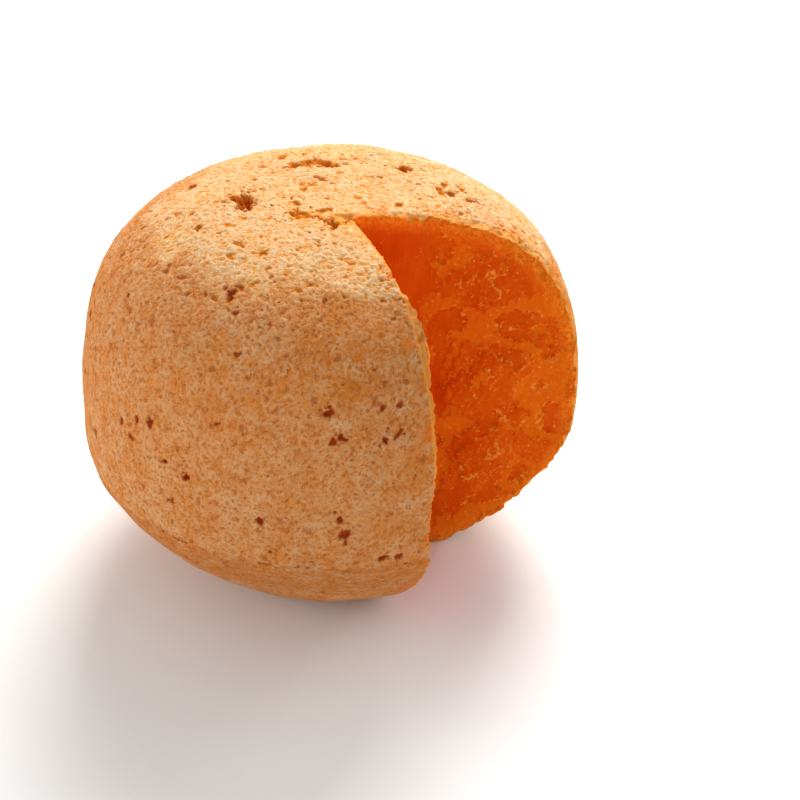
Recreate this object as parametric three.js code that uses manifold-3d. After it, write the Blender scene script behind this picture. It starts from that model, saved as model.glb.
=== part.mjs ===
// A ball of hard, long-aged cheese with one wedge cut out of it.
// The whole ball is a slightly flattened, slightly uneven round body that sits on a small flat foot.
// The missing wedge leaves a notch from top to bottom, open to the side, whose two cut faces meet in an
// upright line a little short of the ball's own axis. Rind and paste grew together, so this is one solid.
// Millimetres, +Z up. The origin is the centre of the ball's footprint, on the surface it rests on.

import * as THREE from "three";
import { mergeVertices } from "three/addons/utils/BufferGeometryUtils.js";
import Module from "manifold-3d";

// Driving dimensions of the ball, before the wedge is cut.
const BALL_RADIUS = 100;
const EQUATOR_HEIGHT = 61; // the widest place, above the foot
const DOME_HEIGHT = 94; // from the widest place to the top
const BELLY_DEPTH = 77.5; // from the widest place to where the belly would close without its foot

// Superellipse powers. The dome is boxy, with a flat crown and a full shoulder, and the belly is
// nearly conical.
const DOME_POWERS = { across: 3.7, up: 2.6 };
const BELLY_POWERS = { across: 1.62, up: 1.6 };

// The wedge. Azimuths are measured from -Y towards +X, seen from above.
const LEFT_CUT_AZIMUTH = 10.5;
const RIGHT_CUT_AZIMUTH = 79.5;
const CUT_TIP_OFFSET = 19; // how far the two cuts meet in front of the ball's axis, along the left cut

// Unevenness left by the cloth, the shelf and the turning by hand.
const LUMPS = [
  { size: 0.5, around: 2, phase: 0.6, twist: 0.5 },
  { size: 0.4, around: 3, phase: 2.2, twist: -1.1 },
  { size: 0.3, around: 5, phase: 4.0, twist: 1.7 },
];
const FLAT_ZONE = 14; // height above the foot over which the lumps fade in
const CROWN_ZONE = 45; // distance from the axis within which they fade out

// Fineness of the faceted solid.
const AROUND = 90;
const DOME_STEPS = 18;
const BELLY_STEPS = 10;
const FOOT_STEPS = 2;

const BALL_HEIGHT = EQUATOR_HEIGHT + DOME_HEIGHT;

const wasm = await Module();
wasm.setup();

// Half-width of the ball at a height above (+) or below (-) its widest place.
function halfWidth(height) {
  const dome = height >= 0;
  const reach = dome ? DOME_HEIGHT : BELLY_DEPTH;
  const { across, up } = dome ? DOME_POWERS : BELLY_POWERS;
  const share = Math.min(1, Math.abs(height) / reach);
  return BALL_RADIUS * Math.pow(1 - Math.pow(share, up), 1 / across);
}

// The ball's half outline as (distance from the axis, height above the foot), from the foot up to the crown.
function ballOutline() {
  const outline = [];
  const footRadius = halfWidth(-EQUATOR_HEIGHT);
  for (let i = 0; i <= FOOT_STEPS; i++) {
    outline.push(new THREE.Vector2((footRadius * i) / FOOT_STEPS, 0));
  }
  for (let i = 1; i <= BELLY_STEPS; i++) {
    const height = EQUATOR_HEIGHT * (i / BELLY_STEPS - 1);
    outline.push(new THREE.Vector2(halfWidth(height), height + EQUATOR_HEIGHT));
  }
  // Equal turns of the superellipse's own angle, so that the steps close up round the shoulder.
  for (let i = 1; i <= DOME_STEPS; i++) {
    const turn = (Math.PI / 2) * (i / DOME_STEPS);
    const height = DOME_HEIGHT * Math.pow(Math.sin(turn), 2 / DOME_POWERS.up);
    const width = i < DOME_STEPS ? halfWidth(height) : 0;
    outline.push(new THREE.Vector2(width, height + EQUATOR_HEIGHT));
  }
  return outline;
}

// How far the surface stands in or out at a place, in millimetres.
function lump(azimuth, fromAxis, height) {
  const rise = THREE.MathUtils.smoothstep(height, 0, FLAT_ZONE);
  const spread = THREE.MathUtils.smoothstep(fromAxis, 0, CROWN_ZONE);
  const waves = LUMPS.map(({ size, around, phase, twist }) => {
    const climb = (twist * height) / BALL_HEIGHT;
    return size * Math.sin(around * azimuth + phase + climb * Math.PI);
  });
  return rise * spread * waves.reduce((sum, wave) => sum + wave, 0);
}

// Moves each point of the turned ball in or out by its lump, level with where it is.
function makeUneven(geometry) {
  const points = geometry.getAttribute("position");
  for (let i = 0; i < points.count; i++) {
    const x = points.getX(i);
    const y = points.getY(i);
    const fromAxis = Math.hypot(x, y);
    if (fromAxis < 1e-6) continue;
    const moved = fromAxis + lump(Math.atan2(x, -y), fromAxis, points.getZ(i));
    points.setX(i, (x * moved) / fromAxis);
    points.setY(i, (y * moved) / fromAxis);
  }
  return geometry;
}

function wholeBall() {
  const turned = new THREE.LatheGeometry(ballOutline(), AROUND);
  return makeUneven(turned.rotateX(Math.PI / 2));
}

// A level direction at an azimuth.
function toward(azimuth) {
  const angle = THREE.MathUtils.degToRad(azimuth);
  return new THREE.Vector2(Math.sin(angle), -Math.cos(angle));
}

// The upright prism that the wedge leaves, taller and longer than the ball.
function wedgeSpace() {
  const overrun = 20;
  const reach = 2 * BALL_RADIUS;
  const tip = toward(LEFT_CUT_AZIMUTH).multiplyScalar(CUT_TIP_OFFSET);
  const alongLeft = toward(LEFT_CUT_AZIMUTH).multiplyScalar(reach).add(tip);
  const alongRight = toward(RIGHT_CUT_AZIMUTH).multiplyScalar(reach).add(tip);
  const plan = new THREE.Shape([tip, alongLeft, alongRight]);
  const prism = new THREE.ExtrudeGeometry(plan, {
    depth: BALL_HEIGHT + 2 * overrun,
    bevelEnabled: false,
  });
  return prism.translate(0, 0, -overrun);
}

// A closed three.js geometry as a solid that can be cut.
function solidFrom(geometry) {
  const bare = geometry.clone();
  bare.deleteAttribute("normal");
  bare.deleteAttribute("uv");
  const merged = mergeVertices(bare, 1e-3);
  return new wasm.Manifold(
    new wasm.Mesh({
      numProp: 3,
      vertProperties: new Float32Array(merged.getAttribute("position").array),
      triVerts: new Uint32Array(merged.index.array),
    }),
  );
}

// A cut solid back as a three.js geometry.
function geometryFrom(solid) {
  const { vertProperties, triVerts } = solid.getMesh();
  const geometry = new THREE.BufferGeometry();
  geometry.setAttribute("position", new THREE.BufferAttribute(vertProperties, 3));
  geometry.setIndex(new THREE.BufferAttribute(triVerts, 1));
  geometry.computeVertexNormals();
  return geometry;
}

function cheeseBall() {
  const cut = solidFrom(wholeBall()).subtract(solidFrom(wedgeSpace()));
  const rind = new THREE.MeshStandardMaterial({
    color: 0xcf8f55,
    roughness: 0.85,
    metalness: 0,
  });
  const ball = new THREE.Mesh(geometryFrom(cut), rind);
  ball.name = "cheese_ball";
  return ball;
}

const part = new THREE.Group();
part.name = "ball_of_cheese";
part.add(cheeseBall());

export default part;
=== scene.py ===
import math

import bpy
import numpy as np
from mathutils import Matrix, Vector


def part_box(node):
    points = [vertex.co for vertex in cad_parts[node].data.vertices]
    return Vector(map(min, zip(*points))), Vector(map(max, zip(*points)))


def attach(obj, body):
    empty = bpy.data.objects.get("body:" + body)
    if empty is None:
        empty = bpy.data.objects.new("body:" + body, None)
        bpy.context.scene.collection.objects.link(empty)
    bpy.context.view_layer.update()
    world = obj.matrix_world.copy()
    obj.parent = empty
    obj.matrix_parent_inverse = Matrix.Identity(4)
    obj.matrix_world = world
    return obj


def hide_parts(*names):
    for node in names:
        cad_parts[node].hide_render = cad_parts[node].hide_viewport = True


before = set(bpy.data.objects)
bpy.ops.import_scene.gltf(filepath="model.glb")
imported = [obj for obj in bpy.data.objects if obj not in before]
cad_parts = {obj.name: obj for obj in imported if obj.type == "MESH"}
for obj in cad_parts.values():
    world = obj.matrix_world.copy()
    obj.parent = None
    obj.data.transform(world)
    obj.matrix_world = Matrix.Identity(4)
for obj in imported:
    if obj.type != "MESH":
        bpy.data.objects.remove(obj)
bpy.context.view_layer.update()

# --------------------------------------------------------------------------------------------------
# The rind. The ball was pressed in a round mould of two halves, whose seam shows as a crease under
# the widest place, and then aged on a shelf: a dry, floury crust that mites and turning have pitted.
# It is made here as a whole, uncut ball, in millimetres from the middle of the foot, on the shelf.

MM = 0.001
low_corner, high_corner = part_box("cheese_ball")
BALL_HEIGHT = (high_corner.z - low_corner.z) / MM
SHARE = BALL_HEIGHT / 155  # the next sizes are those of a ball 155 mm high
RADIUS = 100 * SHARE
EQUATOR = 61 * SHARE  # the widest place, above the shelf
BELLY = 77.5 * SHARE  # from the widest place to where the belly would close with no foot
DOME = BALL_HEIGHT - EQUATOR
DOME_POWERS = 3.7, 2.6  # superellipse powers, across and up
BELLY_POWERS = 1.62, 1.6
FOOT_EDGE = 1.2  # how soft the edge of the flat foot is
CELLS_ACROSS = 300  # cells along each side of the six squares that the ball is made of


def smooth_step(value, start, end):
    """0 at start and 1 at end, with a soft ramp between them, either way round."""
    share = np.clip((value - start) / (end - start), 0, 1)
    return share * share * (3 - 2 * share)


def direction(azimuth, climb):
    """A unit direction from azimuth (0 is -Y, 90 is +X) and climb above level, in degrees."""
    turn, rise = math.radians(azimuth), math.radians(climb)
    level = math.cos(rise)
    return np.array([math.sin(turn) * level, -math.cos(turn) * level, math.sin(rise)])


def reach(directions):
    """How far the smooth ball's surface is from the middle of its widest level, along directions."""
    across = np.hypot(directions[:, 0], directions[:, 1])
    climb = directions[:, 2]
    dome = climb >= 0
    power_across = np.where(dome, DOME_POWERS[0], BELLY_POWERS[0])
    power_up = np.where(dome, DOME_POWERS[1], BELLY_POWERS[1])
    tall = np.where(dome, DOME, BELLY)
    inside = np.zeros(len(directions))
    outside = np.full(len(directions), 1.6 * RADIUS)
    for _ in range(26):  # halvings, which leave less than a micrometre
        middle = (inside + outside) / 2
        share = (across * middle / RADIUS) ** power_across + (np.abs(climb) * middle / tall) ** power_up
        inside = np.where(share < 1, middle, inside)
        outside = np.where(share < 1, outside, middle)
    to_foot = EQUATOR / np.maximum(-climb, 1e-3)
    gap = np.abs(middle - to_foot) / FOOT_EDGE
    return np.minimum(middle, to_foot) - FOOT_EDGE * np.log1p(np.exp(-gap))


def under_rind(points):
    """How far points lie inside the smooth ball's surface; less than 0 outside it."""
    from_middle = points - (0, 0, EQUATOR)
    far = np.linalg.norm(from_middle, axis=1)
    return reach(from_middle / far[:, None]) - far


# The slopes that the noise picks from, and large odd numbers that jumble its cells.
GRADIENTS = np.array(
    [(1, 1, 0), (-1, 1, 0), (1, -1, 0), (-1, -1, 0), (1, 0, 1), (-1, 0, 1), (1, 0, -1), (-1, 0, -1),
     (0, 1, 1), (0, -1, 1), (0, 1, -1), (0, -1, -1), (1, 1, 1), (-1, -1, 1), (1, -1, -1), (-1, 1, -1)],
    float,
)
JUMBLERS = np.array([374761393, 668265263, 2246822519, 2654435761], np.uint32)
SEED_JUMBLER = 3266489917


def scramble(cells, seed):
    """A repeatable jumble of 32 bits for each row of three whole numbers."""
    x, y, z = (cells[:, axis].astype(np.uint32) * JUMBLERS[axis] for axis in range(3))
    jumble = x + y + z + np.uint32(seed * SEED_JUMBLER % 2**32)
    jumble = (jumble ^ (jumble >> np.uint32(15))) * JUMBLERS[3]
    return jumble ^ (jumble >> np.uint32(13))


def swell(points, size, seed):
    """Smooth noise from about -1 to 1, with bumps about size apart."""
    scaled = points / size + 0.37 * seed
    corner = np.floor(scaled)
    part = scaled - corner
    corner = corner.astype(np.int64)
    fade = part**3 * (part * (part * 6 - 15) + 10)
    total = np.zeros(len(points))
    for step in np.ndindex(2, 2, 2):
        slope = GRADIENTS[scramble(corner + step, seed) % len(GRADIENTS)]
        weight = np.prod(np.where(step, fade, 1 - fade), axis=1)
        total += weight * ((part - step) * slope).sum(axis=1)
    return 1.3 * total


def scatter(points, size, seed):
    """Seeds scattered one to a cell of this size. For each point: how far its nearest seed is, in
    units of size, and a random number from 0 to 1 that belongs to that seed."""
    scaled = points / size
    home = np.floor(scaled).astype(np.int64)
    nearest = np.full(len(points), 9.0)
    lot = np.zeros(len(points))
    for step in np.ndindex(3, 3, 3):
        cell = home + step - 1
        jumble = scramble(cell, seed)
        place = np.stack([jumble & 1023, (jumble >> np.uint32(10)) & 1023, jumble >> np.uint32(22)], axis=1)
        far = np.linalg.norm(cell + place / 1024 - scaled, axis=1)
        closer = far < nearest
        nearest = np.where(closer, far, nearest)
        lot = np.where(closer, (scramble(cell, seed + 101) & 1023) / 1023, lot)
    return nearest, lot


def sphere_of_squares(count):
    """Unit directions and four-cornered faces of a cube of count by count cells a side, blown up
    into a ball, with shared corners merged."""
    span = np.tan(np.linspace(-1, 1, count + 1) * math.pi / 4)
    across, up = (side.ravel() for side in np.meshgrid(span, span, indexing="ij"))
    out = np.ones_like(across)
    sides = [(out, across, up), (-out, -across, up), (-across, out, up), (across, -out, up),
             (-up, across, out), (up, across, -out)]
    corners = np.concatenate([np.stack(side, axis=1) for side in sides])
    corners /= np.linalg.norm(corners, axis=1)[:, None]
    first = (np.arange(count)[:, None] * (count + 1) + np.arange(count)).ravel()
    quad = np.stack([first, first + count + 1, first + count + 2, first + 1], axis=1)
    faces = np.concatenate([quad + side * (count + 1) ** 2 for side in range(6)])
    keys = np.round(corners * 1e5).astype(np.int64)
    _, kept, merged = np.unique(keys, axis=0, return_index=True, return_inverse=True)
    return corners[kept], merged.ravel()[faces]


# Holes and grooves that stand out, each with its azimuth and climb from the middle of the widest
# level, half-length, half-width, turn of its long side from level, and depth. Degrees and millimetres.
HOLES = [
    # On the crown: one big hole with a tail, long grooves, and a hole that the cuts' corner runs into.
    (-91, 71, 5.6, 3.2, -20, 5.0), (-98, 69, 3.0, 2.2, 30, 1.8),
    (-167, 72, 6.5, 3.0, 5, 1.7), (-183, 71.5, 4.5, 3.2, -10, 2.0), (-191, 73.5, 3.4, 2.2, 20, 2.6),
    (-165, 65.5, 2.6, 2.0, 0, 1.6), (-178, 65.5, 1.7, 1.4, 0, 1.2),
    (-45, 78, 5.2, 2.8, 16, 1.7), (-22, 82, 3.6, 1.8, 10, 1.3), (-75, 81.5, 2.2, 1.6, 0, 1.4),
    (-9, 76, 2.6, 3.8, 20, 3.2), (-127, 83.5, 2.0, 1.2, 0, 1.0), (-179, 82, 1.6, 1.8, 0, 1.4),
    (121, 66.5, 3.0, 3.4, 25, 3.6), (91, 65, 2.2, 1.5, 0, 2.0), (86, 63, 2.6, 1.8, 40, 2.2),
    (92, 60, 1.8, 1.4, 0, 1.6), (81, 59.5, 2.4, 1.5, 60, 1.8), (97, 63, 1.5, 1.2, 0, 1.2),
    (-41, 62, 1.8, 1.1, 60, 1.0), (-54, 62, 2.6, 1.2, 10, 0.8), (150, 58, 3.0, 1.7, 15, 2.0),
    (60, 74, 1.9, 1.1, 0, 1.1), (-120, 58, 2.4, 1.5, 30, 1.8), (-78, 60, 1.6, 1.2, 0, 1.3),
    # Round the shoulder and down the side that the notch's left cut ends.
    (-42, 51, 1.4, 1.4, 0, 1.7), (-41, 50, 0.9, 1.1, 0, 1.1), (-38, 47.5, 1.2, 0.9, 30, 1.0),
    (-12, 31.5, 1.7, 1.4, 20, 1.4), (-9.5, 27, 1.2, 1.6, 10, 1.4), (-11, 26, 1.0, 1.0, 0, 1.1),
    (-0.5, 26, 0.9, 1.1, 0, 1.4), (3.2, 32, 1.0, 0.8, 0, 0.8), (-0.6, 32, 0.9, 0.8, 0, 0.8),
    (2.2, 26.5, 1.3, 0.7, 45, 0.8), (-9.8, 9.6, 1.1, 1.2, 0, 1.5), (-8.7, 5.8, 1.3, 1.5, 0, 1.8),
    (-8.6, 3.8, 0.6, 0.9, 0, 0.8), (-26, 7.5, 1.0, 1.3, 20, 1.4), (-24, 0.5, 0.8, 0.6, 0, 0.7),
    (-0.9, -0.8, 1.4, 1.0, 20, 1.4), (2.2, -1.2, 1.1, 0.8, 0, 1.2),
    # The cluster on the far left, and the lone holes between.
    (-57, 21.5, 1.0, 1.3, -15, 1.2), (-53, 22, 1.3, 1.5, 0, 1.4), (-62, 19, 1.0, 1.2, 0, 0.7),
    (-58.5, 17, 1.0, 0.9, 0, 1.4), (-48, 15.5, 1.2, 0.7, 15, 1.1), (-42.5, 14, 1.0, 1.0, 0, 1.5),
    (-47.5, 6.5, 1.3, 0.8, 0, 1.0), (-36, 27, 1.2, 0.8, 20, 1.0), (-34, 40, 0.8, 0.8, 0, 0.8),
]
RANDOM_HOLES = 90  # more of the same, where the ball has no hole that stands out


def more_holes(count):
    """Holes of the same kinds, spread evenly at random over the rest of the ball."""
    chance = np.random.default_rng(20)
    holes = []
    while len(holes) < count:
        azimuth = chance.uniform(-180, 180)
        climb = math.degrees(math.asin(chance.uniform(-0.5, 0.97)))
        size = chance.uniform(0.7, 1.4) * (1.7 if chance.uniform() < 0.12 else 1)
        width = size * chance.uniform(0.6, 1)
        turn = chance.uniform(-40, 40)
        depth = chance.uniform(1, 2.2)
        # The near side and the crown are left clear: their holes are all in the list.
        if -70 < azimuth < 12 or climb > 50:
            continue
        holes.append((azimuth, climb, size, width, turn, depth))
    return holes


def dig_holes(points, normals):
    """How deep the holes go at points of the smooth surface, and how near each point is to a hole:
    1 in its middle and 0 from twice its size outwards."""
    depth = np.zeros(len(points))
    nearness = np.zeros(len(points))
    ragged = 1 + 0.35 * swell(points, 4.2, 31) + 0.45 * swell(points, 2.1, 32) + 0.5 * swell(points, 1.3, 34)
    uneven = 0.85 + 0.5 * swell(points, 3.0, 33)
    for azimuth, climb, half_length, half_width, turn, deep in HOLES + more_holes(RANDOM_HOLES):
        toward = direction(azimuth, climb)
        centre = toward * reach(toward[None])[0] + (0, 0, EQUATOR)
        offset = points - centre
        close = np.flatnonzero((np.abs(offset) < 2.5 * max(half_length, half_width)).all(axis=1))
        if not len(close):
            continue
        outward = normals[close[np.argmin(np.linalg.norm(offset[close], axis=1))]]
        level = np.cross((0, 0, 1), outward)
        level /= np.linalg.norm(level)
        steep = np.cross(outward, level)
        slant = math.radians(turn)
        along = offset[close] @ (math.cos(slant) * level + math.sin(slant) * steep)
        aside = offset[close] @ (math.cos(slant) * steep - math.sin(slant) * level)
        off = np.hypot(along / half_length, aside / half_width) * ragged[close]
        dug = deep * smooth_step(off, 1.15, 0.55) * uneven[close]
        depth[close] = np.maximum(depth[close], dug)
        nearness[close] = np.maximum(nearness[close], np.clip(1 - off / 2, 0, 1))
    return depth, nearness


SEAM_HEIGHT = 55  # the mould's seam, above the shelf
SEAM_DEPTH = 0.9


def rind_relief(points, normals):
    """How far the rind stands out at points of the smooth surface, and its layers for the finish:
    how high the crust is, how near a hole is, how deep down it and how much on the floury crown each
    point lies, the crown reaching lower on the +X side as painted light, all 0 to 1, and how far above
    the seam, in millimetres."""
    height = points[:, 2]
    rise = normals[:, 2]
    flour_and_light_line = 0.3 * smooth_step(points[:, 0], 0, 80)  # painted light: the pale crown reaches lower down on the +X side, as if lit more there
    flour_and_light_line += 0.06 * swell(points, 24, 39) + 0.05 * swell(points, 9, 40)
    crown = smooth_step(rise + flour_and_light_line, 0.72, 0.99)
    upper = smooth_step(rise, 0.1, 0.8)
    belly = smooth_step(height, SEAM_HEIGHT + 4, SEAM_HEIGHT - 8)

    # Slow swells from handling, then the crust's lumps and winding crests, and its pores.
    relief = 0.55 * swell(points, 58, 1) + 0.4 * swell(points, 26, 2) + 0.24 * swell(points, 12, 3)
    warped = points + np.stack([swell(points, 3.2, seed) for seed in (4, 5, 6)], axis=1)
    lumps = np.abs(swell(warped, 2.3, 7))
    crests = np.clip(1 - 3 * np.abs(swell(warped, 1.7, 8)), 0, 1)
    fine = swell(points, 1.3, 9)
    pore_far, pore_lot = scatter(warped, 5.0, 10)
    pores = smooth_step(pore_far, 0.12 + 0.26 * pore_lot, 0.03 + 0.1 * pore_lot) * (pore_lot > 0.3)
    prick_far, prick_lot = scatter(warped, 2.7, 16)
    pricks = smooth_step(prick_far, 0.36, 0.14) * (prick_lot > 0.5)
    patchy = 1 + 0.5 * swell(points, 17, 17)
    rough = patchy * (0.14 + 0.44 * upper + 0.14 * crown - 0.06 * belly)
    crust = 0.65 * lumps + 0.34 * crests + 0.2 * fine
    relief += rough * (crust - 0.9 * pores - 0.4 * pricks)

    # The seam: a thin crease with a soft welt under it, stronger in some places than in others.
    wander = 1.4 * swell(points, 45, 11) + 0.4 * swell(points, 9, 12)
    from_seam = height - SEAM_HEIGHT - wander
    strength = np.clip(0.5 + 0.9 * swell(points, 24, 13), 0.1, 1.2)
    relief -= SEAM_DEPTH * strength * np.exp(-((from_seam / 1.1) ** 2))
    relief += 0.5 * strength * np.exp(-(((from_seam + 5) / 4.5) ** 2))

    hole_depth, hole = dig_holes(points, normals)
    relief -= hole_depth
    high = np.clip(0.5 + 1.3 * (crust - 0.3) - 0.7 * pores - 0.4 * pricks - 0.5 * hole_depth, 0, 1)
    hole = np.maximum(hole, pores * (0.4 + 0.35 * crown))
    deep = smooth_step(hole_depth * (1.7 - upper), 0.6, 3.4)
    relief *= smooth_step(height, 0.1, 5)
    seam = np.clip(from_seam, -30, 30)
    return relief, {"crust": high, "hole": hole, "deep": deep, "crown": crown, "seam": seam}


def solid_mesh(name, points, faces, layers):
    """A mesh in metres from points in millimetres, with a number at each point for each layer."""
    mesh = bpy.data.meshes.new(name)
    mesh.from_pydata(points * MM, [], faces.tolist() if isinstance(faces, np.ndarray) else faces)
    for layer, numbers in layers.items():
        mesh.attributes.new(layer, "FLOAT", "POINT").data.foreach_set("value", numbers)
    mesh.shade_smooth()
    return mesh


def read_all(items, name, kind=int, width=1):
    """One property of all of a mesh's points, corners or faces."""
    numbers = np.empty(len(items) * width, kind)
    items.foreach_get(name, numbers)
    return numbers.reshape(-1, width) if width > 1 else numbers


def tint(red, green, blue):
    """A colour given as a paint chart's 0 to 255, as the linear light that shaders take."""
    shares = (channel / 255 for channel in (red, green, blue))
    return (*(c / 12.92 if c < 0.04045 else ((c + 0.055) / 1.055) ** 2.4 for c in shares), 1)


class Field:
    """A quantity that varies over a surface. Arithmetic on it adds the nodes that work it out."""

    def __init__(self, recipe, socket):
        self.recipe, self.socket = recipe, socket

    def math(self, operation, *others):
        inputs = dict(enumerate((self, *others)))
        return self.recipe.node("ShaderNodeMath", {"operation": operation}, inputs)

    def __add__(self, other):
        return self.math("ADD", other)

    __radd__ = __add__

    def __sub__(self, other):
        return self.math("SUBTRACT", other)

    def __rsub__(self, other):
        return (self * -1) + other

    def __mul__(self, other):
        return self.math("MULTIPLY", other)

    __rmul__ = __mul__

    def between(self, start, end):
        """0 at start and 1 at end, with a soft ramp between them, either way round."""
        flip = start > end
        ends = {"Value": self, "From Min": min(start, end), "From Max": max(start, end)}
        ends |= {"To Min": float(flip), "To Max": float(not flip)}
        return self.recipe.node("ShaderNodeMapRange", {"interpolation_type": "SMOOTHSTEP"}, ends)


class Recipe:
    """A material that is built up from nodes."""

    def __init__(self, name):
        self.material = bpy.data.materials.new(name)
        self.material.use_nodes = True
        self.nodes, self.links = self.material.node_tree.nodes, self.material.node_tree.links
        self.nodes.clear()
        place = self.node("ShaderNodeTexCoord", output="Object")
        # The place on the cheese, in millimetres.
        self.place = self.node("ShaderNodeVectorMath", {"operation": "SCALE"}, {0: place, "Scale": 1 / MM})

    def node(self, kind, settings=None, inputs=None, output=0):
        """One node: its settings, then its inputs as numbers or fields. Gives one of its outputs."""
        made = self.nodes.new(kind)
        for name, setting in (settings or {}).items():
            setattr(made, name, setting)
        for name, value in (inputs or {}).items():
            if isinstance(value, Field):
                self.links.new(value.socket, made.inputs[name])
            else:
                made.inputs[name].default_value = value
        return Field(self, made.outputs[output]) if made.outputs else None

    def layer(self, name):
        """The numbers stored at the mesh's points under this name."""
        return self.node("ShaderNodeAttribute", {"attribute_name": name}, output="Fac")

    def grain(self, size, detail=2.0, roughness=0.5, place=None, warp=0.0):
        """Noise from 0 to 1 with grains about size millimetres apart."""
        inputs = {"Vector": place or self.place, "Scale": 1 / size, "Detail": detail}
        inputs |= {"Roughness": roughness, "Distortion": warp}
        return self.node("ShaderNodeTexNoise", {}, inputs)

    def stretched(self, x, y, z):
        """The place with each direction scaled, for streaks."""
        return self.node("ShaderNodeVectorMath", {"operation": "MULTIPLY"}, {0: self.place, 1: (x, y, z)})

    def warped(self, amount, size):
        """The place shaken about by noise, so that what is drawn from it winds."""
        shake = self.node("ShaderNodeTexNoise", {}, {"Vector": self.place, "Scale": 1 / size}, "Color")
        centred = self.node("ShaderNodeVectorMath", {"operation": "SUBTRACT"}, {0: shake, 1: (0.5,) * 3})
        moved = {0: centred, 1: (2 * amount,) * 3, 2: self.place}
        return self.node("ShaderNodeVectorMath", {"operation": "MULTIPLY_ADD"}, moved)

    def pebbles(self, size, place=None, feature="F1"):
        """Cells about size millimetres across: how far the nearest middle, or edge, of one is."""
        inputs = {"Vector": place or self.place, "Scale": 1 / size}
        return self.node("ShaderNodeTexVoronoi", {"feature": feature}, inputs, "Distance")

    def mix(self, share, under, over):
        """The colour under, covered by the colour over in this share."""
        kinds = {"data_type": "RGBA", "clamp_factor": True}
        # The Mix node's colour sockets are its inputs 6 and 7 and its output 2.
        return self.node("ShaderNodeMix", kinds, {0: share, 6: under, 7: over}, output=2)

    def raised(self, height, depth):
        """The normal of a surface raised by height times depth, in millimetres."""
        inputs = {"Height": height, "Distance": depth * MM, "Strength": 1.0}
        return self.node("ShaderNodeBump", {}, inputs)

    def finish(self, sockets):
        """The material, which ends in one Principled shader with these sockets."""
        shader = self.node("ShaderNodeBsdfPrincipled", {}, sockets)
        self.node("ShaderNodeOutputMaterial", {}, {"Surface": shader})
        return self.material


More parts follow.
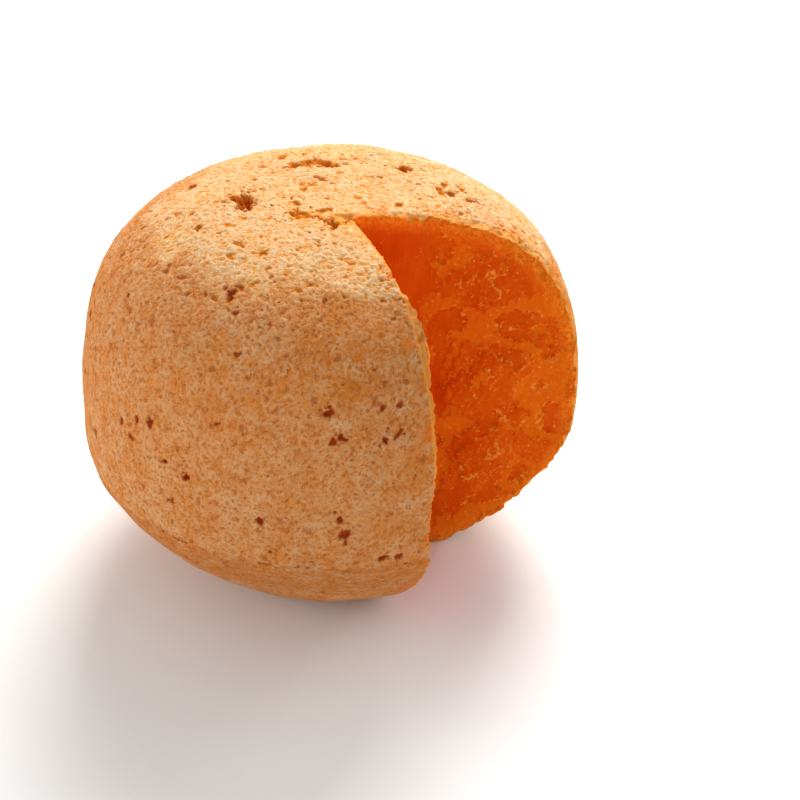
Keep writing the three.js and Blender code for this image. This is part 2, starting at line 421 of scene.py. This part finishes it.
def rind_material():
    """Tan crust under pale flour, with painted shade in its hollows as a darker orange, and reddish brown
    down its holes.
    """
    rind = Recipe("floury_rind")
    crust, hole, deep = rind.layer("crust"), rind.layer("hole"), rind.layer("deep")
    crown, seam, to_paste = rind.layer("crown"), rind.layer("seam"), rind.layer("to_paste")
    patch = rind.grain(32, 3, 0.55)
    blotch = rind.grain(8, 4, 0.6)
    mottle = rind.grain(2.2, 4, 0.65)
    speck = rind.grain(0.9, 3, 0.65)
    dust = rind.grain(0.45, 2, 0.6)
    cell = rind.pebbles(2.1, rind.warped(1.1, 1.9), "DISTANCE_TO_EDGE")
    ring = rind.pebbles(4.6, rind.warped(0.9, 2.2))
    veins = cell.between(0.24, 0.05) * blotch.between(0.36, 0.6)
    rings = ring.between(0.16, 0.24) * ring.between(0.36, 0.28) * rind.grain(6).between(0.46, 0.58)
    grit = 0.4 * mottle + 0.38 * speck + 0.22 * dust

    # Bare crust: tan to brown, with warmer patches, and painted shade in the hollows as a darker orange.
    # The crown's pale colours reach lower on the +X side as painted light.
    top = crown.between(0.45, 1.0)
    side_tan = rind.mix(grit.between(0.4, 0.6), tint(196, 110, 46), tint(222, 149, 80))
    crown_tan = rind.mix(grit.between(0.4, 0.6), tint(218, 148, 76), tint(226, 178, 118))
    tan = rind.mix(top, side_tan, crown_tan)
    warmth = rind.mix(top, tint(212, 120, 34), tint(232, 158, 64))
    warm = rind.mix((patch + 0.3 * (mottle - 0.5)).between(0.48, 0.66) * 0.8, tan, warmth)
    hollow = (0.5 - crust + 0.9 * (0.5 - grit)).between(0.05, 0.4)
    # Painted shade: the hollows are given a darker, more saturated orange.
    shade = rind.mix(top, tint(168, 80, 30), tint(226, 138, 40))
    hollow_shaded = rind.mix(hollow * (0.5 + 0.35 * top), warm, shade)

    # Flour: thin on the sides, where it gathers in veins and rings, and thick on the crown, whose reach
    # lower on the +X side is painted light.
    bloom = rind.grain(19, 4, 0.6, warp=0.6).between(0.52, 0.64) * (1 - crown)
    above_seam = seam.between(0.3, 2.0) * seam.between(16, 5) * rind.grain(14, 3).between(0.44, 0.6)
    dusting = 0.7 * (grit - 0.5) + 0.35 * (crust - 0.5) + 0.12 * top + 0.35 * (blotch - 0.5)
    dusting = (dusting + 0.07 * above_seam + 0.06 * bloom).between(-0.08, 0.3) * (0.26 + 0.4 * top)
    gathered = (0.5 + 0.25 * bloom) * veins * (1 - 0.7 * top) + 0.3 * rings
    flour = (dusting + gathered) * (1 - (0.35 + 0.3 * top) * hollow)
    pale = rind.mix(top, tint(216, 170, 122), tint(230, 196, 152))
    floured = rind.mix(flour, hollow_shaded, pale)

    # The seam's dark line, the plain band under it, dots, and paste smeared along the cuts.
    band = seam.between(0.6, -1.5) * seam.between(-24, -14)
    streaks = rind.grain(1.8, 3, 0.6, rind.stretched(0.25, 0.25, 1.5))
    banded = rind.mix(band * streaks.between(0.3, 0.6) * 0.55, floured, tint(182, 98, 36))
    line = (seam.math("ABSOLUTE") + 2 * (speck - 0.5)).between(1.0, 0.2)
    broken = rind.grain(3, 3).between(0.42, 0.56) * rind.grain(17, 2).between(0.4, 0.56)
    lined = rind.mix(line * broken * 0.75, banded, tint(146, 52, 14))
    dots = (rind.pebbles(2.9) + 0.5 * (speck - 0.5)).between(0.17, 0.08)
    dots = dots * rind.grain(6).between(0.47, 0.6)
    dotted = rind.mix(dots * (0.75 - 0.4 * top), lined, tint(140, 54, 14))
    smears = 0.45 * to_paste + 22 * (speck - 0.5) + 18 * (blotch - 0.5)
    smeared = rind.mix(smears.between(-0.2, -1.6) * 0.9, dotted, tint(230, 108, 20))
    rim = (to_paste + 5 * (speck - 0.5)).between(2.4, 0.8)
    rimmed = rind.mix(rim * 0.8, smeared, tint(246, 160, 66))

    # Down the holes: orange where the light still reaches, then a dark reddish brown.
    haloed = rind.mix(hole.between(0.05, 0.5) * 0.4 * (1 - top), rimmed, tint(164, 76, 26))
    ragged_hole = hole + 0.7 * (speck - 0.5) + 0.4 * (mottle - 0.5)
    shallow = rind.mix(top, tint(160, 62, 18), tint(220, 122, 24))
    stain = rind.mix(deep, shallow, tint(192, 48, 5))
    colour = rind.mix(ragged_hole.between(0.4, 0.58) * 0.9, haloed, stain)

    height = speck + 0.4 * dust + 0.15 * veins + 0.6 * mottle
    normal = rind.raised(height * (0.6 + 0.3 * crown), 0.8)
    sockets = {"Base Color": colour, "Normal": normal, "Roughness": 0.9, "IOR": 1.45}
    sockets |= {"Specular IOR Level": 0.08, "Subsurface Weight": 0.1, "Subsurface Scale": 0.001}
    sockets |= {"Subsurface Radius": (1.0, 0.4, 0.15)}
    return rind.finish(sockets)


# --------------------------------------------------------------------------------------------------
# The notch. One wedge was cut out with a long knife, pressed down from the crown, and pulled away.
# The cuts are smooth near the corner where they meet; further out the dry paste tore off in plates,
# and all along the rind it crumbled. It is made as the space that the wedge left.

LEFT_CUT, RIGHT_CUT = 10.5, 79.5  # azimuths
CORNER = 19 * direction(LEFT_CUT, 0)  # where the cuts meet, seen from above
CUT_SPACING = 0.6  # between the points of the cut faces
CUT_LENGTH = 106  # as far as the cut faces need to be fine
NOTCH_REACH = 135  # far enough out for the space to clear the ball
NOTCH_OVERSHOOT = 8  # how far the space goes past the foot and the crown
# The knife didn't go straight down on the left: heights, and how far that cut bows into the notch.
LEFT_BOW = [(0, 1.2), (22, 1.5), (58, -0.4), (95, -1.6), (118, 0.2), (134, 1.3), (155, 0.4)]


def cut_sides():
    """For the left and the right cut, the level direction along it and the one out of its face."""
    left, right = direction(LEFT_CUT, 0), direction(RIGHT_CUT, 0)
    return (left, np.array([-left[1], left[0], 0])), (right, np.array([right[1], -right[0], 0]))


def from_cuts(points):
    """How far points outside the notch are from the left cut, and from the right cut."""
    far = []
    for toward, out in cut_sides():
        along = (points - CORNER) @ toward
        aside = (points - CORNER) @ out
        far.append(np.where(along > 0, np.abs(aside), np.hypot(along, aside)))
    return far


def torn_plates(flat, size, steps, seed):
    """How high overlapping plates with ragged edges lie, in steps of 1, how near a plate's edge each
    point is, and how light its plate is, both 0 to 1."""
    shake = [2.4 * swell(flat, 9, seed + n) + 1.5 * swell(flat, 3.4, seed + n + 2)
             + 1.1 * swell(flat, 1.6, seed + n + 4) for n in (0, 1)]
    ragged = flat + np.stack([*shake, np.zeros(len(flat))], axis=1)
    level = steps * (swell(ragged, size, seed + 6) + 0.35 * swell(ragged, size * 0.4, seed + 7))
    whole = np.floor(level)
    part = level - whole
    light = 0.5 + 0.5 * np.sin(2.6 * whole + seed)
    return whole + smooth_step(part, 0, 0.06) + 0.3 * part, smooth_step(part, 0.16, 0.06), light


def cut_relief(along, height, under, side):
    """How far a cut face stands into the notch, and its layers for the finish: how torn it is, how
    near a plate's edge or a crumb, how light its plate is, and how far under the rind. Side is 0 for
    the left cut and 1 for the right."""
    apart = 90.0 * side  # so that the two faces don't have the same pattern
    flat = np.stack([along, height, np.full(len(along), apart)], axis=1)
    relief = 0.5 * swell(flat, 55, 51) + 0.18 * swell(flat, 17, 52)
    if side == 0:
        bow_heights, bows = zip(*LEFT_BOW)
        relief += np.interp(height, bow_heights, bows)
        torn = smooth_step(along + 16 * swell(flat, 40, 53) - 0.12 * height, 20, 34)
    else:
        torn = smooth_step(along + 9 * swell(flat, 20, 54), 27, 33)
    slanted = np.stack([along - 0.12 * height, 0.045 * height, flat[:, 2]], axis=1)
    relief += (1 - 0.8 * torn) * (0.04 * swell(slanted, 1.9, 55) + 0.07 * swell(slanted, 5, 56))
    plates, ledge, light = torn_plates(flat, 26, 2.2, 60)
    relief += torn * (1.05 * plates + 0.2 * swell(flat, 2.6, 75) + 0.1 * swell(flat, 1.5, 72))
    fleck_far, fleck_lot = scatter(flat + 0.7 * swell(flat, 1.4, 67)[:, None], 2.4, 68)
    flecks = smooth_step(fleck_far, 0.34 * fleck_lot + 0.01, 0.1 * fleck_lot) * (fleck_lot > 0.55)
    flecks *= smooth_step(swell(flat, 8, 74) + 0.7 * ledge, -0.1, 0.5)
    relief += 0.3 * torn * flecks

    # Crumbled back along the rind, in bites of uneven size, with crumbs left standing.
    bites = 0.7 + (0.25 + 0.6 * side) * swell(flat, 7, 69) + 0.6 * swell(flat, 2.6, 70)
    relief -= 1.2 * np.clip(bites, 0.1, 2) * smooth_step(under, 2.9, 0.2)
    relief += (0.35 * swell(flat, 1.8, 71) + 0.3 * swell(flat, 3.5, 76)) * smooth_step(under, 7, 0.5)
    relief *= smooth_step(along, 0, 4)
    ledge = np.maximum(ledge * smooth_step(swell(flat, 5, 73), -0.35, 0.2), flecks)
    return relief, {"torn": torn, "ledge": torn * ledge, "light": torn * light, "under": under}


def notch_space():
    """The closed space that the wedge left, its two cut faces fine and its other sides plain."""
    (left, left_out), (right, right_out) = cut_sides()
    along = np.append(np.arange(0, CUT_LENGTH, CUT_SPACING), NOTCH_REACH)
    heights = np.arange(-NOTCH_OVERSHOOT, BALL_HEIGHT + NOTCH_OVERSHOOT, CUT_SPACING)
    sides = []
    for side, (toward, out) in enumerate([(left, left_out), (right, right_out)]):
        u, z = (side_of.ravel() for side_of in np.meshgrid(along, heights, indexing="ij"))
        flat_points = CORNER + u[:, None] * toward + z[:, None] * np.array([0, 0, 1])
        under = under_rind(flat_points)
        relief, layers = cut_relief(u, z, under, side)
        relief *= u < CUT_LENGTH
        numbers = np.column_stack([flat_points + relief[:, None] * out, *layers.values()])
        sides.append(numbers.reshape(len(along), len(heights), -1))
    # One ring of columns: in along the left cut, and out again along the right.
    columns = np.concatenate([sides[0][:0:-1], sides[1]])
    count, tall, kinds = columns.shape
    here = (np.arange(count)[:, None] * tall + np.arange(tall - 1)).ravel()
    there = (np.roll(np.arange(count), -1)[:, None] * tall + np.arange(tall - 1)).ravel()
    faces = np.stack([here, here + 1, there + 1, there], axis=1).tolist()
    faces.append([column * tall for column in range(count)])
    faces.append([column * tall + tall - 1 for column in reversed(range(count))])
    numbers = columns.reshape(-1, kinds)
    return numbers[:, :3], faces, dict(zip(layers, numbers[:, 3:].T))


def paste_material():
    """Waxy deep-orange paste, lighter on some torn plates, with a painted highlight along the plates' edges,
    lighter where crumbs lie, and towards the rind.
    """
    paste = Recipe("orange_paste")
    torn, ledge = paste.layer("torn"), paste.layer("ledge")
    light, under = paste.layer("light"), paste.layer("under")
    cloud = paste.grain(22, 3, 0.5)
    patch = paste.grain(6, 4, 0.6)
    speck = paste.grain(1.6, 3, 0.65)
    dust = paste.grain(0.6, 2, 0.6)
    scratch = paste.grain(1.6, 3, 0.6, paste.stretched(1, 1, 0.05))

    body = paste.mix(cloud.between(0.35, 0.65), tint(217, 77, 1), tint(226, 93, 2))
    ragged = 0.5 * (patch - 0.5) + 0.7 * (speck - 0.5)
    lighter = paste.mix((light + ragged).between(0.3, 0.7) * 0.55, body, tint(240, 122, 12))
    matted = (speck * 0.5 + patch * 0.3 + dust * 0.2).between(0.5, 0.66) * torn
    crumbed = paste.mix(matted * 0.45, lighter, tint(246, 146, 36))
    crumbs = paste.pebbles(1.9, paste.warped(0.7, 0.6)).between(0.3, 0.18)
    crumbs = crumbs * (0.6 * torn + 0.4) * paste.grain(4.5, 3, 0.6).between(0.5, 0.62)
    # Painted highlight along the torn plates' edges, in the same light orange as the real crumbs and flecks.
    edge_highlight_and_crumbs = (ledge.between(0.2, 0.7) * speck.between(0.42, 0.54)).math("MAXIMUM", crumbs)
    highlighted_and_crumbed = paste.mix(edge_highlight_and_crumbs * 0.8, crumbed, tint(250, 160, 64))
    near_rind = (under + 8 * (patch - 0.5) + 6 * (speck - 0.5)).between(9, 1.5)
    crumb = (speck * 0.6 + dust * 0.4).between(0.42, 0.6)
    crumbly = paste.mix(crumb, tint(243, 112, 4), tint(254, 156, 50))
    dried = paste.mix(near_rind * 0.8, highlighted_and_crumbed, crumbly)
    skin = (under + 0.8 * (speck - 0.5)).between(0.8, 0.3)
    colour = paste.mix(skin * 0.7, dried, tint(240, 170, 80))

    height = 0.2 * scratch + (0.15 + torn + near_rind) * (0.7 * speck + 0.6 * patch + 0.3 * dust)
    roughness = 0.45 + 0.25 * near_rind + 0.15 * torn + 0.12 * (speck - 0.5)
    sockets = {"Base Color": colour, "Normal": paste.raised(height, 0.9), "Roughness": roughness}
    sockets |= {"IOR": 1.46, "Specular IOR Level": 0.03}
    sockets |= {"Subsurface Weight": 0.35, "Subsurface Scale": 0.0015, "Subsurface Radius": (1, 0.3, 0.06)}
    return paste.finish(sockets)


# --------------------------------------------------------------------------------------------------
# The cheese. The uncut ball less the notch's space is one solid: floury rind outside, and the waxy
# paste, dyed deep orange, where it was cut. It stands on its own flattened foot.

PASTE = 1  # the second of the mesh's material slots; the rind has the first

# Where bits of crust came off the paste: azimuth and climb as for the holes, and half the size.
TORN_OFF = [(5, 76.8, 4.4), (-2, 77, 2.8), (20, 72, 1.6)]


def from_paste(points):
    """How far points of the smooth surface are from bare paste: from a cut, where the right one
    counts as nearer since more of its rim broke away, or from a bit that came off."""
    to_left, to_right = from_cuts(points)
    near = np.minimum(1.6 * to_left, 0.6 * to_right)
    shaken = points + 1.5 * np.stack([swell(points, 3, seed) for seed in (35, 36, 37)], axis=1)
    for azimuth, climb, size in TORN_OFF:
        toward = direction(azimuth, climb)
        centre = toward * reach(toward[None])[0] + (0, 0, EQUATOR)
        near = np.minimum(near, np.maximum(np.linalg.norm(shaken - centre, axis=1) - size, -3))
    return near


def rind_mesh():
    """The whole ball with its crust, crumbled back along the cuts and sunk where bits came off."""
    directions, faces = sphere_of_squares(CELLS_ACROSS)
    smooth = directions * reach(directions)[:, None] + (0, 0, EQUATOR)
    smooth_ball = solid_mesh("smooth_ball", smooth, faces, {})
    normals = read_all(smooth_ball.vertex_normals, "vector", float, 3)
    relief, layers = rind_relief(smooth, normals)
    to_left, to_right = from_cuts(smooth)
    bites = np.clip(0.6 + 0.8 * swell(smooth, 5, 14) + 0.5 * swell(smooth, 2.2, 38), 0.05, 1.8)
    crumbled = 0.4 * smooth_step(to_left, 2.0, 0.2) + 1.3 * smooth_step(to_right, 4.2, 0.3)
    relief -= bites * crumbled * smooth_step(smooth[:, 2], 0.1, 5)
    layers["to_paste"] = from_paste(smooth)
    relief -= 0.7 * smooth_step(layers["to_paste"], 0.8, -0.8)
    return solid_mesh("rind", smooth + relief[:, None] * normals, faces, layers)


def notch_mesh():
    """The notch's space, whose sides leave paste where they cut."""
    points, faces, layers = notch_space()
    mesh = solid_mesh("notch", points, faces, layers)
    mesh.polygons.foreach_set("material_index", [PASTE] * len(mesh.polygons))
    return mesh


def add_object(name, data):
    """An object put into the scene for a mesh, light or camera."""
    made = bpy.data.objects.new(name, data)
    bpy.context.scene.collection.objects.link(made)
    return made


def cut_ball(materials):
    """The ball with the notch cut out of it, as one closed mesh."""
    ball, notch = add_object("uncut_ball", rind_mesh()), add_object("notch_space", notch_mesh())
    for piece in (ball, notch):
        for material in materials:
            piece.data.materials.append(material)
    cut = ball.modifiers.new("cut", "BOOLEAN")
    cut.operation = "DIFFERENCE"
    cut.solver = "MANIFOLD"
    cut.object = notch
    evaluated = ball.evaluated_get(bpy.context.evaluated_depsgraph_get())
    mesh = bpy.data.meshes.new_from_object(evaluated)
    for piece in (ball, notch):
        bpy.data.objects.remove(piece)
    mesh.name = "cheese"
    return mesh


MAP_SQUARES = 3  # along each side of the flat map
SQUARE_MARGIN = 0.02  # of a square, left clear at its edges
LEFT_SQUARE, RIGHT_SQUARE = 6, 7  # the cut faces'; the ball's six sides have the first six


def unwrap(mesh):
    """A flat map for baking: the ball's six sides and the two cut faces, a square each."""
    points = read_all(mesh.vertices, "co", float, 3) / MM
    face_start = read_all(mesh.polygons, "loop_start")
    face_size = read_all(mesh.polygons, "loop_total")
    on_cut = read_all(mesh.polygons, "material_index") == PASTE
    face_of = np.repeat(np.arange(len(face_size)), face_size)
    corners = points[read_all(mesh.loops, "vertex_index")]
    centres = np.add.reduceat(corners, face_start) / face_size[:, None]

    # The ball's sides: whichever of the six directions a face looks along most.
    from_middle = centres - (0, 0, EQUATOR)
    axis = np.abs(from_middle).argmax(axis=1)
    sign = np.sign(np.take_along_axis(from_middle, axis[:, None], axis=1))[:, 0]
    square = axis * 2 + (sign > 0)
    out = corners - (0, 0, EQUATOR)
    flat = np.empty((len(corners), 2))
    for side in range(3):
        across_and_up = [other for other in range(3) if other != side]
        here = axis[face_of] == side
        depth = np.abs(out[here, side])
        flat[here] = np.arctan2(out[here][:, across_and_up], depth[:, None]) / (math.pi / 2) + 0.5

    # The cut faces, seen square on.
    (left, left_out), (right, right_out) = cut_sides()
    off_left, off_right = (np.abs((centres - CORNER) @ way) for way in (left_out, right_out))
    on_left = off_left < off_right
    square = np.where(on_cut, np.where(on_left, LEFT_SQUARE, RIGHT_SQUARE), square)
    toward = np.where(on_left[face_of][:, None], left, right)
    along = ((corners - CORNER) * toward).sum(axis=1)
    # A square holds a face with 1 mm clear under and over it, and 4 mm before its inner edge.
    width = BALL_HEIGHT + 2
    seen = np.stack([(along + 4) / width, (corners[:, 2] + 1) / width], axis=1)
    flat = np.where(on_cut[face_of][:, None], seen, flat)

    inset = SQUARE_MARGIN + np.clip(flat, 0, 1) * (1 - 2 * SQUARE_MARGIN)
    row, column = np.divmod(square[face_of], MAP_SQUARES)
    places = (inset + np.stack([column, row], axis=1)) / MAP_SQUARES
    # The flat map for baking goes under this name.
    mesh.uv_layers.new(name="OFBake").data.foreach_set("uv", places.ravel())


def sharpen_rim(mesh):
    """Keeps the line between rind and paste crisp."""
    slots_beside = {}
    for face in mesh.polygons:
        for edge in face.edge_keys:
            slots_beside.setdefault(edge, set()).add(face.material_index)
    sharp = [len(slots_beside.get(edge.key, ())) > 1 for edge in mesh.edges]
    mesh.attributes.new("sharp_edge", "BOOLEAN", "EDGE").data.foreach_set("value", sharp)


cheese_mesh = cut_ball([rind_material(), paste_material()])
unwrap(cheese_mesh)
sharpen_rim(cheese_mesh)
cheese = add_object("cheese", cheese_mesh)
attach(cheese, "root")
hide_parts("cheese_ball")


# --------------------------------------------------------------------------------------------------
# The set, which isn't part of the cheese: a plain pale table top, a large soft light above and
# behind with a weak one on each side, an even white surround, and the camera, a little above.

TABLE_HALF = 60.0  # metres, so that its edges lie far off
table = bpy.data.meshes.new("table_top")
table_corners = [(x * TABLE_HALF, y * TABLE_HALF, 0) for x, y in ((-1, -1), (1, -1), (1, 1), (-1, 1))]
table.from_pydata(table_corners, [], [(0, 1, 2, 3)])
table_top = add_object("table_top", table)
matt = Recipe("matt_white")
table.materials.append(matt.finish({"Base Color": tint(236, 235, 233), "Roughness": 0.7}))


AIM = Vector((0, 0, 0.08))  # about the middle of the cheese


def add_light(name, place, size, watts):
    """A square soft light that faces the cheese, with its place and size in metres."""
    light = bpy.data.lights.new(name, "AREA")
    light.size, light.energy = size, watts
    lamp = add_object(name, light)
    lamp.location = place
    lamp.rotation_euler = (AIM - Vector(place)).to_track_quat("-Z", "Y").to_euler()


add_light("back_softbox", (0.5, 1.1, 1.15), 1.0, 43)
add_light("left_softbox", (-1.5, 0.0, 0.6), 0.8, 8)
add_light("right_softbox", (1.4, 0.6, 0.5), 0.6, 8)

world = bpy.data.worlds.new("studio")
world.use_nodes = True
world.node_tree.nodes["Background"].inputs["Color"].default_value = (1, 1, 1, 1)
world.node_tree.nodes["Background"].inputs["Strength"].default_value = 0.64
bpy.context.scene.world = world
bpy.context.scene.view_settings.view_transform = "Standard"

LOOK_AZIMUTH, LOOK_CLIMB = -11.8, 33.3
LOOK_FROM = 0.588  # from the middle of the ball's widest level, in metres
camera_data = bpy.data.cameras.new("camera")
camera_data.sensor_width = 36
camera_data.lens = 64
camera_data.shift_x = 0.0878
camera_data.shift_y = 0.004
camera_data.clip_start = 0.01
camera = add_object("camera", camera_data)
middle = Vector((0, 0, EQUATOR * MM))
away = Vector(direction(LOOK_AZIMUTH, LOOK_CLIMB))
camera.location = middle + away * LOOK_FROM
camera.rotation_euler = (-away).to_track_quat("-Z", "Y").to_euler()
bpy.context.scene.camera = camera
